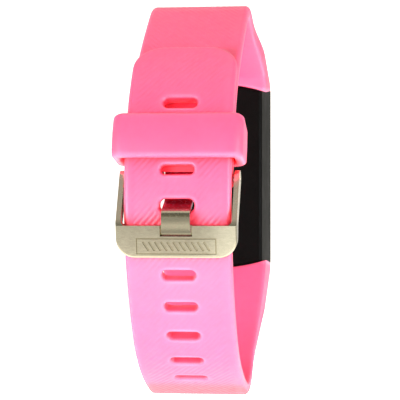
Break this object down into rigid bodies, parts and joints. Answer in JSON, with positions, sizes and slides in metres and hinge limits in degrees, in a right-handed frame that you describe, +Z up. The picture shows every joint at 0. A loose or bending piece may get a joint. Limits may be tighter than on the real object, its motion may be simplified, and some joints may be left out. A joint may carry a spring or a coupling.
{
  "type": "fitness tracker band",
  "caption": "Slim rectangular tracker module on a two-piece ribbed silicone strap, closed into a wrist loop by a pin buckle and a loose keeper ring.",
  "frame": {"origin": "under the lowest point of the buckled loop, in the middle of the bounding box", "axes": "+X along the wrist's axis (across the strap), +Y out of the tracker's glass with the buckle on the -Y side, +Z up towards the end of the module where the buckle strap starts"},
  "size_m": [0.0222, 0.065, 0.0714],
  "materials": {
    "silicone": "soft matte silicone with fine diagonal ribs",
    "steel": "brushed",
    "bar_steel": "bright drawn",
    "case": "satin black",
    "cover": "satin black",
    "glass": "polished, inked black from behind",
    "window": "polished smoked",
    "display": "glossy",
    "gasket": "matte",
    "board": "solder mask",
    "chip": "matte",
    "can": "satin",
    "battery": "foil",
    "copper": "bright",
    "gold": "bright",
    "weight": "sintered",
    "led": "clear green"
  },
  "bodies": {
    "band": {"upper_strap": "silicone", "lower_strap": "silicone", "case_body": "case", "back_cover": "cover", "case_gasket": "gasket", "cover_glass": "glass", "display_panel": "display", "touch_electrode": "copper", "display_connector": "chip", "main_board": "board", "processor": "chip", "motion_sensor": "chip", "antenna": "copper", "battery_cell": "battery", "motor_can": "can", "motor_shaft": "bar_steel", "sensor_board": "board", "sensor_leds": "led", "photodiode": "chip", "sensor_window": "window", "charging_contacts": "gold", "buckle_bar_tube": "bar_steel", "buckle_bar_spring": "bar_steel", "top_bar_tube": "bar_steel", "top_bar_spring": "bar_steel", "bottom_bar_tube": "bar_steel", "bottom_bar_spring": "bar_steel"},
    "frame": {"buckle_frame": "steel"},
    "tongue": {"buckle_tongue": "steel"},
    "keeper_ring": {"keeper": "silicone"},
    "motor_rotor": {"motor_weight": "weight"},
    "buckle_bar_tip_left_body": {"buckle_bar_tip_left": "bar_steel"},
    "buckle_bar_tip_right_body": {"buckle_bar_tip_right": "bar_steel"},
    "top_bar_tip_left_body": {"top_bar_tip_left": "bar_steel"},
    "top_bar_tip_right_body": {"top_bar_tip_right": "bar_steel"},
    "bottom_bar_tip_left_body": {"bottom_bar_tip_left": "bar_steel"},
    "bottom_bar_tip_right_body": {"bottom_bar_tip_right": "bar_steel"}
  },
  "joints": [
    {"name": "buckle_frame_swing", "type": "hinge", "parent": "band", "child": "frame", "pos_m": [0, -0.02675, 0.03919], "axis": [-1, 0, 0], "range_deg": [0, 3]},
    {"name": "buckle_tongue_lift", "type": "hinge", "parent": "frame", "child": "tongue", "pos_m": [0, -0.02675, 0.03919], "axis": [-1, 0, 0], "range_deg": [0, 1]},
    {"name": "keeper_slide", "type": "hinge", "parent": "band", "child": "keeper_ring", "pos_m": [0, 0.00313, 0.03562], "axis": [-1, 0, 0], "range_deg": [-1.5, 20]},
    {"name": "vibration_motor_spin", "type": "hinge", "parent": "band", "child": "motor_rotor", "pos_m": [0, 0.02718, 0.03073], "axis": [0, 1, 0], "continuous": true},
    {"name": "buckle_bar_tip_left_slide", "type": "slide", "parent": "band", "child": "buckle_bar_tip_left_body", "axis": [1, 0, 0], "range_m": [0, 0.001], "stiffness_N_per_m": 400, "springref_m": -0.001, "deforming": ["buckle_bar_spring"]},
    {"name": "buckle_bar_tip_right_slide", "type": "slide", "parent": "band", "child": "buckle_bar_tip_right_body", "axis": [-1, 0, 0], "range_m": [0, 0.001], "stiffness_N_per_m": 400, "springref_m": -0.001, "deforming": ["buckle_bar_spring"]},
    {"name": "top_bar_tip_left_slide", "type": "slide", "parent": "band", "child": "top_bar_tip_left_body", "axis": [1, 0, 0], "range_m": [0, 0.00125], "stiffness_N_per_m": 400, "springref_m": -0.001, "deforming": ["top_bar_spring"]},
    {"name": "top_bar_tip_right_slide", "type": "slide", "parent": "band", "child": "top_bar_tip_right_body", "axis": [-1, 0, 0], "range_m": [0, 0.00125], "stiffness_N_per_m": 400, "springref_m": -0.001, "deforming": ["top_bar_spring"]},
    {"name": "bottom_bar_tip_left_slide", "type": "slide", "parent": "band", "child": "bottom_bar_tip_left_body", "axis": [1, 0, 0], "range_m": [0, 0.00125], "stiffness_N_per_m": 400, "springref_m": -0.001, "deforming": ["bottom_bar_spring"]},
    {"name": "bottom_bar_tip_right_slide", "type": "slide", "parent": "band", "child": "bottom_bar_tip_right_body", "axis": [-1, 0, 0], "range_m": [0, 0.00125], "stiffness_N_per_m": 400, "springref_m": -0.001, "deforming": ["bottom_bar_spring"]}
  ]
}
